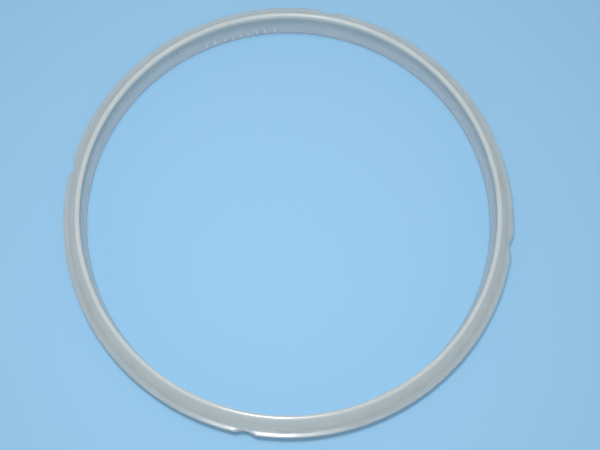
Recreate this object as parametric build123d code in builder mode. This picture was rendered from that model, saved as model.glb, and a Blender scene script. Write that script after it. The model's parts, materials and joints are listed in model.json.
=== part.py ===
"""Sealing ring of a 22 cm pressure cooker: one moulded piece of translucent silicone.

The ring is a solid of revolution about +Z, with its origin at the centre of the plane that it rests
on. Its section has a bead on top, a sloping shoulder, a thin flange that points outwards, and a skirt
that leans in to a thin sealing lip. The inner face leans back from the bead to a small step, and forms
with the skirt a shallow channel, where the lid's retaining hoop sits. Four shallow scoops are cut into
the flange's edge, on the X and Y axes.
Dimensions are in millimetres, radii are measured from the ring's axis and heights from the rest plane.
"""

import os

from build123d import *

# Bead on top, which presses against the lid
crown_height = 20.4
bead_inner_radius = 109.6
bead_outer_radius = 111.5
bead_land_foot_height = 18.4
bead_inner_rounding = 1.0
bead_outer_rounding = 0.5
bead_foot_rounding = 0.8

# Channel inside, which holds the retaining hoop
channel_radius = 112.1
channel_top_height = 12.7
channel_top_rounding = 0.25
channel_foot_height = 11.0
step_radius = 111.5
step_height = 13.0
step_rounding = 0.35

# Flange, which centres the ring in the lid's rim
flange_radius = 120.0
flange_edge_height = 11.8
flange_thickness = 1.6
flange_edge_rounding = 0.35
flange_dish = 0.12
crease_radius = 116.8
crease_rounding = 1.5

# Skirt and sealing lip, which presses on the pot's rim
skirt_root_radius = 114.2
skirt_root_rounding = 1.2
lip_inner_radius = 110.0
lip_outer_radius = 111.2
lip_land_height = 1.5
lip_rounding = 0.25

# Scoops in the flange's edge
scoop_count = 4
scoop_depth = 1.4
scoop_arc_radius = 9.6
scoop_centre_radius = flange_radius - scoop_depth + scoop_arc_radius
relief_width = 1.2
relief_depth = 0.6
relief_rise_above_flange = 0.3

flange_underside_height = flange_edge_height - flange_thickness
crease_height = flange_edge_height - flange_dish

# Corners of the section after the straight wall of the channel, each with its rounding: up the leaning
# inner face and round the bead, out along the shoulder to the flange's edge, then back and down the
# skirt to the lip
rounded_corners = [
    ((channel_radius, channel_top_height), channel_top_rounding),
    ((step_radius, step_height), step_rounding),
    ((bead_inner_radius, bead_land_foot_height), bead_foot_rounding),
    ((bead_inner_radius, crown_height), bead_inner_rounding),
    ((bead_outer_radius, crown_height), bead_outer_rounding),
    ((crease_radius, crease_height), crease_rounding),
    ((flange_radius, flange_edge_height), flange_edge_rounding),
    ((flange_radius, flange_underside_height), flange_edge_rounding),
    ((skirt_root_radius, flange_underside_height), skirt_root_rounding),
    ((lip_outer_radius, 0), lip_rounding),
    ((lip_inner_radius, 0), lip_rounding),
]
channel_foot = (channel_radius, channel_foot_height)
lip_land_top = (lip_inner_radius, lip_land_height)
corner_points = [point for point, rounding in rounded_corners]
corner_roundings = [rounding for point, rounding in rounded_corners]

with BuildPart() as sealing_ring:
    # Section turned about the axis
    with BuildSketch(Plane.XZ):
        with BuildLine():
            FilletPolyline(channel_foot, *corner_points, lip_land_top, radius=corner_roundings)
            TangentArc(channel_foot, lip_land_top, tangent=(0, -1))
        make_face()
    revolve(axis=Axis.Z)

    # Scoops, cut straight through the flange
    with BuildSketch(Plane.XY.offset(flange_underside_height)):
        with PolarLocations(scoop_centre_radius, scoop_count):
            Circle(scoop_arc_radius)
    extrude(amount=flange_thickness + relief_rise_above_flange, mode=Mode.SUBTRACT)

    # Sloping relief round each scoop, on the flange's upper face
    with Locations((0, 0, flange_edge_height - relief_depth)):
        with PolarLocations(scoop_centre_radius, scoop_count):
            Cone(
                bottom_radius=scoop_arc_radius,
                top_radius=scoop_arc_radius + relief_width,
                height=relief_depth + relief_rise_above_flange,
                align=(Align.CENTER, Align.CENTER, Align.MIN),
                mode=Mode.SUBTRACT,
            )

sealing_ring.part.label = "sealing_ring"

os.makedirs("parts", exist_ok=True)
export_step(sealing_ring.part, "parts/sealing_ring.step")

print(f"sealing ring: {sealing_ring.part.volume / 1000:.1f} cm3, {sealing_ring.part.bounding_box()}")
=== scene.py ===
# %% [markdown]
# # A silicone sealing ring
# The ring sits under the lid of a pressure cooker and seals it to the pot. It is one moulding of milky,
# translucent silicone: a bead on top, a sloping shoulder, a thin flange with four notches, and a skirt
# that leans in to a thin lip. The lesson turns the section into a ring, cuts the notches, adds the
# moulder's marks, and mixes a silicone that lets light through where it is thin.

# %% Load the frame
import json
import math

import bmesh
import bpy
from mathutils import Matrix, Vector


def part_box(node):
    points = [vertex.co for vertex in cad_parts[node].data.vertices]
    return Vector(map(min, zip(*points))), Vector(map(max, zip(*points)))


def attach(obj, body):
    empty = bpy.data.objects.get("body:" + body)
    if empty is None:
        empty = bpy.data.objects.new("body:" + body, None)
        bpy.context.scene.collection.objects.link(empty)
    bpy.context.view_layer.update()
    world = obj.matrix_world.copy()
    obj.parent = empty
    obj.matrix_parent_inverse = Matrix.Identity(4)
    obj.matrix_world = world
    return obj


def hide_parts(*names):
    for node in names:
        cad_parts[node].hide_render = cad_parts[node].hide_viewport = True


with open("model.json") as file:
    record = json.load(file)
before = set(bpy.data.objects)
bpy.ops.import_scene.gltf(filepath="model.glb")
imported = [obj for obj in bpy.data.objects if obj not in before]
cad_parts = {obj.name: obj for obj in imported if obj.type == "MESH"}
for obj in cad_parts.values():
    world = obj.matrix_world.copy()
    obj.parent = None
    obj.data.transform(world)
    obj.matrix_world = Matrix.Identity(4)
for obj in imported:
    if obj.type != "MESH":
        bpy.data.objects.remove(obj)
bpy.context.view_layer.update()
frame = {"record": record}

MM = 0.001
mounts = {mount["name"]: mount for mount in frame["record"]["mounts"]}


def mount_radius(name):
    """The radius of one of the ring's round interfaces, in metres."""
    return mounts[name]["dims"]["r_mm"] * MM


ring_low, ring_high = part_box("sealing_ring")
rest_height = ring_low.z
crown_height = ring_high.z
flange_radius = mount_radius("flange_edge")
bead_radius = mount_radius("crown_bore")
lip_radius = mount_radius("lip_bore")
flange_thickness = 1.6 * MM
flange_edge_height = mounts["flange_edge"]["pos_m"][2] + 0.5 * flange_thickness
print("ring", round(2000 * flange_radius, 1), "mm across,", round(crown_height / MM, 1), "mm tall")

# %% [markdown]
# ## The camera
# It looks down steeply on the near part of the ring, from a little to the right of one notch, and it
# is rolled by a few degrees, as a camera held by hand is. Its place is worked out backwards from the
# point on the flange's plane that the lens looks at.

# %% Camera
view_azimuth = math.radians(7.6)
view_elevation = math.radians(73.6)
view_roll = math.radians(2.8)
view_distance = 425.4 * MM
aim_to_the_right = 6.3 * MM
aim_towards_camera = 10.3 * MM

right = Vector((math.cos(view_azimuth), math.sin(view_azimuth), 0))
near = Vector((math.sin(view_azimuth), -math.cos(view_azimuth), 0))
back = near * math.cos(view_elevation) + Vector((0, 0, math.sin(view_elevation)))
aim = right * aim_to_the_right + near * aim_towards_camera + Vector((0, 0, flange_edge_height))

camera_data = bpy.data.cameras.new("camera")
camera_data.lens = 48.1
camera_data.sensor_width = 36
camera_data.clip_start = 0.01
camera = bpy.data.objects.new("camera", camera_data)
bpy.context.scene.collection.objects.link(camera)
up = back.cross(right)
facing = Matrix((right, up, back)).transposed()
camera.matrix_world = Matrix.LocRotScale(
    aim + back * view_distance, facing @ Matrix.Rotation(view_roll, 3, "Z"), None
)
bpy.context.scene.camera = camera
print("camera", round(camera.location.z / MM), "mm above the table")

# %% [markdown]
# ## The section
# A moulded ring is a section turned about an axis, so the section comes first: a polygon with one
# vertex for each corner. Every corner of a rubber moulding is rounded, because the mould is milled.
# Bevelling single vertices of a flat face rounds them, each by its own amount. The channel's wall,
# which curves in to the lip, is a corner too, bevelled so far that it becomes one arc.

# %% Section: its dimensions
bead_outer_radius = 111.5 * MM
bead_land_foot_height = 18.4 * MM
step_radius = 111.5 * MM
step_height = 13.0 * MM
channel_radius = 112.1 * MM
channel_top_height = 12.7 * MM
channel_corner_height = 6.0 * MM
crease_radius = 116.8 * MM
crease_height = flange_edge_height - 0.12 * MM
flange_underside_height = flange_edge_height - flange_thickness
skirt_root_radius = 114.2 * MM
lip_outer_radius = 111.2 * MM
lip_land_height = 1.5 * MM


def corner(radius, height, setback, segments):
    """One corner of the section: where it is, how far back its rounding starts, and how fine it is."""
    return Vector((radius, 0, height)), setback * MM, segments


section_corners = [
    corner(lip_radius, rest_height, 0.25, 3),
    corner(lip_radius, lip_land_height, 0.40, 3),
    corner(channel_radius, channel_corner_height, 4.5, 24),
    corner(channel_radius, channel_top_height, 0.15, 2),
    corner(step_radius, step_height, 0.20, 3),
    corner(bead_radius, bead_land_foot_height, 0.40, 3),
    corner(bead_radius, crown_height, 1.0, 8),
    corner(bead_outer_radius, crown_height, 0.30, 4),
    corner(crease_radius, crease_height, 0.90, 6),
    corner(flange_radius, flange_edge_height, 0.32, 3),
    corner(flange_radius, flange_underside_height, 0.32, 3),
    corner(skirt_root_radius, flange_underside_height, 0.80, 5),
    corner(lip_outer_radius, rest_height, 0.20, 3),
]

# %% Section: rounding it
longest_edge = 0.8 * MM


def rounded_section(corners):
    """A closed loop of edges in the XZ plane, with its corners rounded and its long edges divided."""
    section = bmesh.new()
    points = [section.verts.new(place) for place, _, _ in corners]
    section.faces.new(points)
    for point, (_, setback, segments) in zip(points, corners):
        bmesh.ops.bevel(
            section, geom=[point], offset=setback, offset_type="OFFSET", segments=segments,
            profile=0.5, affect="VERTICES", material=-1,
        )
    for edge in list(section.edges):
        cuts = math.ceil(edge.calc_length() / longest_edge) - 1
        if cuts > 0:
            bmesh.ops.subdivide_edges(section, edges=[edge], cuts=cuts)
    bmesh.ops.delete(section, geom=section.faces[:], context="FACES_ONLY")
    return section


ring_mesh = rounded_section(section_corners)
print("section points", len(ring_mesh.verts))

# %% [markdown]
# ## Turning the section
# One full spin would give evenly spaced columns. The notches need fine columns and the plain
# stretches between them do not, so a quarter of the ring is spun in short runs, each with its own
# step: through a notch, past the slope beside it, along the plain stretch, and up to the next notch.
# The other three quarters are copies, which is also much quicker than spinning them.

# %% Spin
scoop_count = 4
scoop_depth = 1.4 * MM
scoop_arc_radius = 9.6 * MM
scoop_centre = flange_radius - scoop_depth + scoop_arc_radius
relief_width = 1.2 * MM
relief_depth = 0.6 * MM
quarter = math.tau / scoop_count


def angle_inside(circle_radius):
    """Half the angle over which a circle about the scoop's centre reaches into the flange."""
    across = flange_radius**2 + scoop_centre**2 - circle_radius**2
    return math.acos(across / (2 * flange_radius * scoop_centre))


scoop_half_angle = angle_inside(scoop_arc_radius)
relief_half_angle = angle_inside(scoop_arc_radius + relief_width)
plain_angle = quarter - 2 * relief_half_angle
relief_angle = relief_half_angle - scoop_half_angle
runs = [
    (2 * scoop_half_angle, 22),
    (relief_angle, 7),
    (plain_angle, 134),
    (relief_angle, 7),
]

start = Matrix.Rotation(-scoop_half_angle, 3, "Z")
bmesh.ops.rotate(ring_mesh, verts=ring_mesh.verts[:], cent=(0, 0, 0), matrix=start)
last = ring_mesh.verts[:] + ring_mesh.edges[:]
for angle, steps in runs:
    turned = bmesh.ops.spin(
        ring_mesh, geom=last, cent=(0, 0, 0), axis=(0, 0, 1), angle=angle, steps=steps,
        use_merge=False, use_duplicate=False,
    )
    last = turned["geom_last"]
print("quarter", len(ring_mesh.faces), "faces")

# %% [markdown]
# ## The notches
# Each notch is a shallow scoop in the flange's edge. Cutting it with a boolean would leave a raw,
# sharp edge, so the flange is drawn in instead: every point between the crease and the edge moves
# towards the crease in proportion, and the rounded edge keeps its shape all along the scoop. Then the
# upper face is pressed down beside the scoop, as a shallow cone.

# %% Notches
crease_end_radius = 117.5 * MM
flange_start_radius = 117.0 * MM
relief_rise = 0.3 * MM


def scoop_edge_radius(angle):
    """How far out the flange reaches at this angle from the middle of a notch."""
    if abs(angle) >= scoop_half_angle:
        return flange_radius
    reach = scoop_arc_radius**2 - (scoop_centre * math.sin(angle)) ** 2
    return scoop_centre * math.cos(angle) - math.sqrt(reach)


def relief_height(radius, angle):
    """The height of the cone that is pressed into the flange's upper face beside a notch."""
    away = math.hypot(radius * math.cos(angle) - scoop_centre, radius * math.sin(angle))
    rise = (away - scoop_arc_radius) / relief_width
    return flange_edge_height - relief_depth + rise * (relief_depth + relief_rise)


def angle_from_notch(point):
    """The angle from the nearest notch to this point, about the ring's axis."""
    around = math.atan2(point.y, point.x)
    return (around + quarter / 2) % quarter - quarter / 2


middle_of_flange = flange_edge_height - 0.5 * flange_thickness
for vert in ring_mesh.verts:
    radius = math.hypot(vert.co.x, vert.co.y)
    from_notch = angle_from_notch(vert.co)
    if radius < flange_start_radius or abs(from_notch) > relief_half_angle:
        continue
    share = max(0.0, (radius - crease_end_radius) / (flange_radius - crease_end_radius))
    drawn_in = radius - share * (flange_radius - scoop_edge_radius(from_notch))
    height = vert.co.z
    if height > middle_of_flange:
        height = min(height, max(relief_height(drawn_in, from_notch), middle_of_flange))
    vert.co = (vert.co.x * drawn_in / radius, vert.co.y * drawn_in / radius, height)

# %% [markdown]
# ## Closing the ring
# The finished quarter is copied three times, each copy a quarter turn further on. The copies meet
# edge to edge, so merging the doubled points welds them into one skin. A spun mesh may come out
# inside out, so its normals are worked out afresh once it is closed.

# %% Close the ring
weld_distance = 0.01 * MM
first_quarter = ring_mesh.verts[:] + ring_mesh.edges[:] + ring_mesh.faces[:]
for turn in range(1, scoop_count):
    copy = bmesh.ops.duplicate(ring_mesh, geom=first_quarter)
    copied = [item for item in copy["geom"] if isinstance(item, bmesh.types.BMVert)]
    bmesh.ops.rotate(
        ring_mesh, verts=copied, cent=(0, 0, 0), matrix=Matrix.Rotation(turn * quarter, 3, "Z")
    )
bmesh.ops.remove_doubles(ring_mesh, verts=ring_mesh.verts[:], dist=weld_distance)
bmesh.ops.recalc_face_normals(ring_mesh, faces=ring_mesh.faces[:])
print("whole ring", len(ring_mesh.faces), "faces")

# %% [markdown]
# ## The moulder's marks
# Rings like this one have raised marks on the inside of the skirt, cut into the mould's core. Plain
# bars, dashes and pips stand for them here. The faces of the wall under a mark are inset as one
# region and pushed out in the same step, which gives a low pad with sloping sides that is part of
# the same skin. Each pad's points are tagged, so that the material can find them later.


# %% Marks
wall_tolerance = 0.1 * MM


def wall_faces(first_angle, last_angle, low, high):
    """The faces of the skirt's inner wall between two angles, in degrees, and two heights, in mm."""
    found = []
    for face in ring_mesh.faces:
        middle = face.calc_center_median()
        if not low * MM < middle.z < high * MM:
            continue
        if math.hypot(middle.x, middle.y) > channel_radius + wall_tolerance:
            continue
        if first_angle < math.degrees(math.atan2(middle.y, middle.x)) % 360 < last_angle:
            found.append(face)
    return found


mark_proud = 0.28 * MM
mark_side = 0.14 * MM


def raise_mark(middle_angle, width_mm, low, high):
    """Lifts one plain pad off the wall. Its width snaps to whole columns of faces."""
    half = math.degrees(0.5 * width_mm * MM / channel_radius)
    faces = wall_faces(middle_angle - half, middle_angle + half, low, high)
    if faces:
        bmesh.ops.inset_region(
            ring_mesh, faces=faces, thickness=mark_side, depth=mark_proud, use_even_offset=True,
        )
        for face in faces:
            for vert in face.verts:
                vert[mark_layer] = 1.0


def raise_row(first_angle, spacing, count, low, high, width_mm=1.2):
    """A row of equal narrow pads, evenly spaced by an angle in degrees."""
    for number in range(count):
        raise_mark(first_angle + spacing * number, width_mm, low, high)


mark_layer = ring_mesh.verts.layers.float.new("mark")
raise_row(first_angle=105.0, spacing=2.6, count=9, low=1.7, high=5.2)
for dash_low, dash_high in ((5.8, 6.9), (8.0, 9.1)):
    raise_mark(middle_angle=131.5, width_mm=14.0, low=dash_low, high=dash_high)
raise_row(first_angle=138.5, spacing=2.4, count=3, low=8.4, high=9.6)
raise_row(first_angle=154.0, spacing=3.6, count=4, low=8.4, high=9.6)
print("marked ring", len(ring_mesh.faces), "faces")

# %% [markdown]
# ## The ring as an object
# The mesh is built in place, so its object stays at the origin, unturned. Smooth shading suits it,
# because every corner has a real rounding of several faces. It rides on the model's only body, and
# stands in for the plain ring of the design.

# %% The ring as an object
for face in ring_mesh.faces:
    face.smooth = True

mesh = bpy.data.meshes.new("sealing_ring_moulding")
ring_mesh.to_mesh(mesh)
ring_mesh.free()
ring = bpy.data.objects.new("sealing_ring_moulding", mesh)
bpy.context.scene.collection.objects.link(ring)
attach(ring, "root")
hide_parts("sealing_ring")

# %% [markdown]
# ## Silicone
# Silicone rubber is cloudy: light goes in, is scattered by the filler and comes out a little way
# off. A thick stretch looks milky, and a thin one lets what is behind it show. True volume
# scattering would do both but is slow and noisy, and a game engine cannot show it. So the surface
# scatters light under its skin everywhere, and a cover value, worked out from where on the section a
# point lies, makes the skirt and the flange partly clear. The marks are a little thicker, so they
# are cloudier too.

# %% Silicone: a small node kit
silicone = bpy.data.materials.new("silicone")
silicone.use_nodes = True
nodes = silicone.node_tree.nodes
links = silicone.node_tree.links
skin = nodes["Principled BSDF"]
place = nodes.new("ShaderNodeTexCoord").outputs["Object"]


def ramp_between(value, low, high, low_result, high_result):
    """Maps a value smoothly from one range to another."""
    node = nodes.new("ShaderNodeMapRange")
    node.interpolation_type = "SMOOTHSTEP"
    links.new(value, node.inputs["Value"])
    node.inputs["From Min"].default_value = low
    node.inputs["From Max"].default_value = high
    node.inputs["To Min"].default_value = low_result
    node.inputs["To Max"].default_value = high_result
    return node.outputs["Result"]


def combine(operation, first, second):
    """Joins two values, or a value and a number, by one sum."""
    node = nodes.new("ShaderNodeMath")
    node.operation = operation
    links.new(first, node.inputs[0])
    if isinstance(second, (int, float)):
        node.inputs[1].default_value = second
    else:
        links.new(second, node.inputs[1])
    return node.outputs["Value"]


def blotches(per_metre, detail, roughness=0.5):
    """Soft random patches, so many to the metre, from 0 to 1."""
    node = nodes.new("ShaderNodeTexNoise")
    node.inputs["Scale"].default_value = per_metre
    node.inputs["Detail"].default_value = detail
    node.inputs["Roughness"].default_value = roughness
    links.new(place, node.inputs["Vector"])
    return node.outputs["Fac"]


# %% [markdown]
# ## How much the silicone hides
# The cover is the share of the light that the surface keeps. It follows the moulding. The rim of the
# lip hides least. The skirt hides more just above the rim and clears towards its root; the extra
# cover low down shows more of the lip's painted light. The thick body hides most. The flange lies at
# the same height as the body's foot, so it is picked out by its distance from the axis instead, and
# it hides a little less towards its edge. A little unevenness stands for the filler, which is never
# stirred in perfectly.

# %% Silicone: cover
split = nodes.new("ShaderNodeSeparateXYZ")
links.new(place, split.inputs["Vector"])
height = split.outputs["Z"]
level = nodes.new("ShaderNodeVectorMath")
level.operation = "MULTIPLY"
level.inputs[1].default_value = (1, 1, 0)
links.new(place, level.inputs[0])
from_axis = nodes.new("ShaderNodeVectorMath")
from_axis.operation = "LENGTH"
links.new(level.outputs["Vector"], from_axis.inputs[0])
radius = from_axis.outputs["Value"]

LOW_SKIRT_COVER = 0.62
HIGH_SKIRT_COVER = 0.36
RIM_SHARE = 0.25
BODY_COVER = 0.80
FLANGE_COVER = 0.68
EDGE_THINNING = 0.12
MARK_COVER = 0.30
FILLER_UNEVENNESS = 0.05

# The skirt's higher cover low down carries the lip's painted light; towards the root it clears and
# shows the real shadow behind.
skirt_cover = ramp_between(height, 2.0 * MM, 9.0 * MM, LOW_SKIRT_COVER, HIGH_SKIRT_COVER)
rim_fade = ramp_between(height, 0.2 * MM, 2.4 * MM, RIM_SHARE, 1.0)
skirt_cover = combine("MULTIPLY", skirt_cover, rim_fade)
body_share = ramp_between(height, 11.4 * MM, 12.9 * MM, 0.0, BODY_COVER)
up_the_wall = combine("MAXIMUM", skirt_cover, body_share)
flange_share = ramp_between(radius, 114.0 * MM, 116.5 * MM, 0.0, FLANGE_COVER)
edge_thinning = ramp_between(radius, 115.5 * MM, 118.0 * MM, 0.0, EDGE_THINNING)
cover = combine("SUBTRACT", combine("MAXIMUM", up_the_wall, flange_share), edge_thinning)
mark = nodes.new("ShaderNodeAttribute")
mark.attribute_name = "mark"
marked_cover = combine("ADD", cover, combine("MULTIPLY", mark.outputs["Fac"], MARK_COVER))
filler = combine("MULTIPLY", combine("SUBTRACT", blotches(70, 3), 0.5), FILLER_UNEVENNESS)
links.new(combine("ADD", marked_cover, filler), skin.inputs["Alpha"])

# %% [markdown]
# ## The colour of silicone
# Clear silicone is not white. In the thick body it looks warm and grey, because the light has come a
# long way through it. Two greys are mixed in soft patches for the body. Further down the mix gives
# way to a pale, cool colour on the lip, which is painted light: it stands in for the light that
# reaches the thin lip and for the blue light bounced up from the table. Silicone also clings to dust,
# so a few tiny pale specks lie on it: the middles of the cells of a Voronoi pattern. Each cell's own
# random colour sets how big its speck is, so no two are alike and many cells have none.

# %% Silicone: colour


def mixed(factor, first, second):
    """Mixes two colours. The second may be a plain colour or the result of another mix."""
    node = nodes.new("ShaderNodeMix")
    node.data_type = "RGBA"
    links.new(factor, node.inputs["Factor"])
    first_socket, second_socket = (socket for socket in node.inputs if socket.type == "RGBA")
    first_socket.default_value = first
    if isinstance(second, tuple):
        second_socket.default_value = second
    else:
        links.new(second, second_socket)
    return next(socket for socket in node.outputs if socket.type == "RGBA")


patches = ramp_between(blotches(45, 4), 0.30, 0.70, 0.0, 1.0)
body_colour = mixed(patches, (0.64, 0.62, 0.55, 1), (0.68, 0.66, 0.59, 1))
above_lip = ramp_between(height, 1.5 * MM, 10.0 * MM, 0.0, 1.0)
# Painted light: the lip's pale, cool colour stands in for the light reaching the lip and the blue light
# bounced from the table.
colour_with_painted_lip_light = mixed(above_lip, (0.88, 0.95, 0.97, 1), body_colour)
dust = nodes.new("ShaderNodeTexVoronoi")
dust.inputs["Scale"].default_value = 330
links.new(place, dust.inputs["Vector"])
speck_size = ramp_between(dust.outputs["Color"], 0.4, 0.8, -0.02, 0.05)
past_the_speck = combine("SUBTRACT", dust.outputs["Distance"], speck_size)
no_dust = ramp_between(past_the_speck, 0.0, 0.03, 0.0, 1.0)
dust_colour = (0.82, 0.81, 0.77, 1)
links.new(mixed(no_dust, dust_colour, colour_with_painted_lip_light), skin.inputs["Base Color"])

# %% [markdown]
# ## The skin
# A moulding copies the polish of its mould, so silicone has a satin skin. Handling leaves smudges that
# are duller than the rest. Two bumps lie one on the other: a slow ripple, because soft rubber is never
# quite true, and a fine grain from the spark marks of the mould. Light scatters about a centimetre
# before it comes out. The values that are the same all over are set directly on the shader.

# %% Silicone: skin
smudges = ramp_between(blotches(110, 5, 0.6), 0.35, 0.70, 0.15, 0.25)
links.new(smudges, skin.inputs["Roughness"])


def relief(pattern, depth, strength):
    """A bump made from a pattern, as deep as given."""
    node = nodes.new("ShaderNodeBump")
    node.inputs["Strength"].default_value = strength
    node.inputs["Distance"].default_value = depth
    links.new(pattern, node.inputs["Height"])
    return node


ripple = relief(blotches(140, 2), 0.20 * MM, 0.35)
grain = relief(blotches(1500, 3, 0.6), 0.04 * MM, 0.30)
links.new(ripple.outputs["Normal"], grain.inputs["Normal"])
links.new(grain.outputs["Normal"], skin.inputs["Normal"])
skin.inputs["IOR"].default_value = 1.41
skin.inputs["Subsurface Weight"].default_value = 1.0
skin.inputs["Subsurface Radius"].default_value = (1.0, 1.0, 1.0)
skin.inputs["Subsurface Scale"].default_value = 12 * MM
mesh.materials.append(silicone)
print("silicone", len(nodes), "nodes")

# %% [markdown]
# ## The table
# A plain, pale blue table. Some colour behind the ring matters, because a clear material shows only
# by what it changes. It is a single large face, dull enough not to mirror the lamps.

# %% Table
table_half_width = 2.5
table_mesh = bmesh.new()
bmesh.ops.create_grid(table_mesh, x_segments=1, y_segments=1, size=table_half_width)
bmesh.ops.translate(table_mesh, verts=table_mesh.verts[:], vec=(0, 0, rest_height))
table_data = bpy.data.meshes.new("table")
table_mesh.to_mesh(table_data)
table_mesh.free()
table = bpy.data.objects.new("table", table_data)
bpy.context.scene.collection.objects.link(table)
table_paint = bpy.data.materials.new("table")
table_paint.use_nodes = True
paint = table_paint.node_tree.nodes["Principled BSDF"]
paint.inputs["Base Color"].default_value = (0.30, 0.55, 0.78, 1)
paint.inputs["Roughness"].default_value = 0.8
paint.inputs["Specular IOR Level"].default_value = 0.2
table_data.materials.append(table_paint)

# %% [markdown]
# ## The light
# A lamp high above the ring gives the soft light, nearly straight down, so that the shadow stays under
# the ring and shows only as a thin dark line in front of it. It is hidden from reflections, because
# its mirror image would paint every level face of the ring white. A small lamp near the lens reaches
# the inner wall on the far side, and a second one in the same place is seen only in reflections: it
# makes the crisp glints on the near side without making anything else brighter.

# %% Light


def area_light(name, position, size, watts):
    """A square lamp that faces the ring."""
    lamp_data = bpy.data.lights.new(name, "AREA")
    lamp_data.size = size
    lamp_data.energy = watts
    lamp = bpy.data.objects.new(name, lamp_data)
    bpy.context.scene.collection.objects.link(lamp)
    lamp.location = position
    lamp.rotation_euler = Vector(position).to_track_quat("Z", "Y").to_euler()
    return lamp


overhead = area_light("overhead", (-0.02, 0.08, 1.4), 0.35, 6.2)
overhead.visible_glossy = False
near_the_lens = camera.location - right * 24 * MM - near * 64 * MM + Vector((0, 0, 7 * MM))
area_light("near_the_lens", near_the_lens, 0.02, 0.75)
glint = area_light("glint", near_the_lens, 0.03, 0.4)
glint.visible_diffuse = False

world = bpy.data.worlds.new("studio")
world.use_nodes = True
background = world.node_tree.nodes["Background"]
background.inputs["Color"].default_value = (0.95, 0.97, 1.0, 1)
background.inputs["Strength"].default_value = 0.38
bpy.context.scene.world = world
bpy.context.scene.view_settings.view_transform = "Standard"
